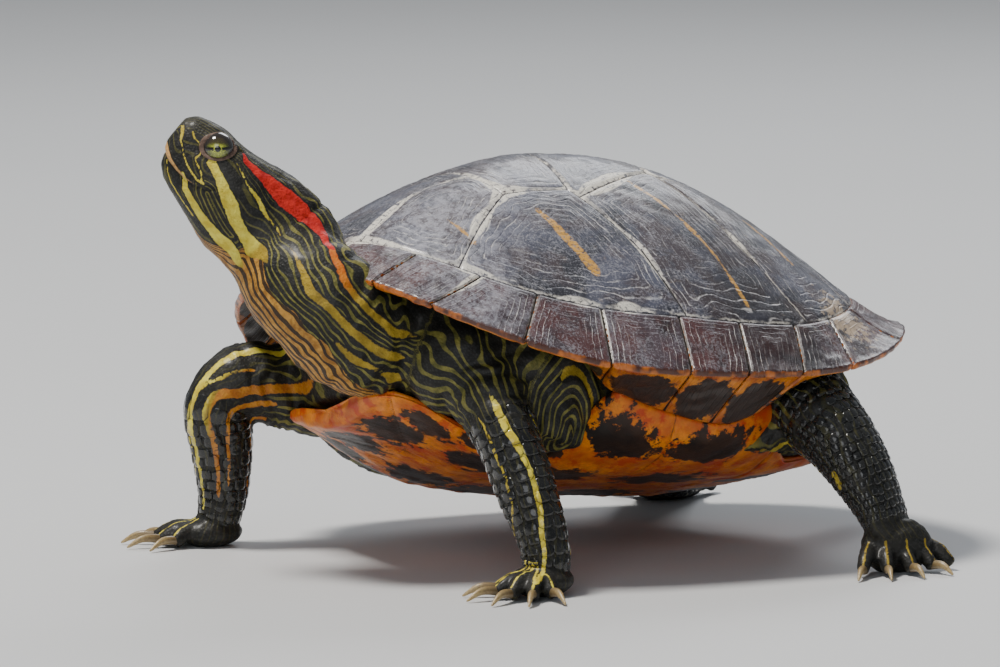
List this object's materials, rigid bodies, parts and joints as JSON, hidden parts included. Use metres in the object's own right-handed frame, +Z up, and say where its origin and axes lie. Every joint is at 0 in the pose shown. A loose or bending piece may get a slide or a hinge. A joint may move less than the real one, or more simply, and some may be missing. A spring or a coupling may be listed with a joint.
{
  "type": "red-eared slider turtle",
  "caption": "Life-size red-eared slider turtle standing on its four feet, neck stretched and head raised, as a still museum-type model.",
  "frame": {"origin": "middle of the whole animal in plan, on the floor its feet stand on", "axes": "+X ahead towards the head, +Y to the turtle's left, +Z up"},
  "size_m": [0.2514, 0.2132, 0.1394],
  "materials": {
    "shell": "horn, dark and scuffed",
    "plastron": "horn, orange with black blotches",
    "skin": "finely scaled, dark with yellow stripes",
    "eye": "wet",
    "claw": "horn, cream to brown"
  },
  "bodies": {
    "root": {"carapace": "shell", "plastron": "plastron", "trunk": "skin", "head": "skin", "jaw_lower": "skin", "neck_upper": "skin", "neck_lower": "skin", "eye_left": "eye", "eye_right": "eye", "tail": "skin", "leg_front_left_upper": "skin", "leg_front_left_lower": "skin", "foot_front_left": "skin", "claw_front_left_1": "claw", "claw_front_left_2": "claw", "claw_front_left_3": "claw", "claw_front_left_4": "claw", "claw_front_left_5": "claw", "leg_front_right_upper": "skin", "leg_front_right_lower": "skin", "foot_front_right": "skin", "claw_front_right_1": "claw", "claw_front_right_2": "claw", "claw_front_right_3": "claw", "claw_front_right_4": "claw", "claw_front_right_5": "claw", "leg_hind_left_upper": "skin", "leg_hind_left_lower": "skin", "foot_hind_left": "skin", "claw_hind_left_1": "claw", "claw_hind_left_2": "claw", "claw_hind_left_3": "claw", "claw_hind_left_4": "claw", "leg_hind_right_upper": "skin", "leg_hind_right_lower": "skin", "foot_hind_right": "skin", "claw_hind_right_1": "claw", "claw_hind_right_2": "claw", "claw_hind_right_3": "claw", "claw_hind_right_4": "claw"}
  },
  "joints": []
}
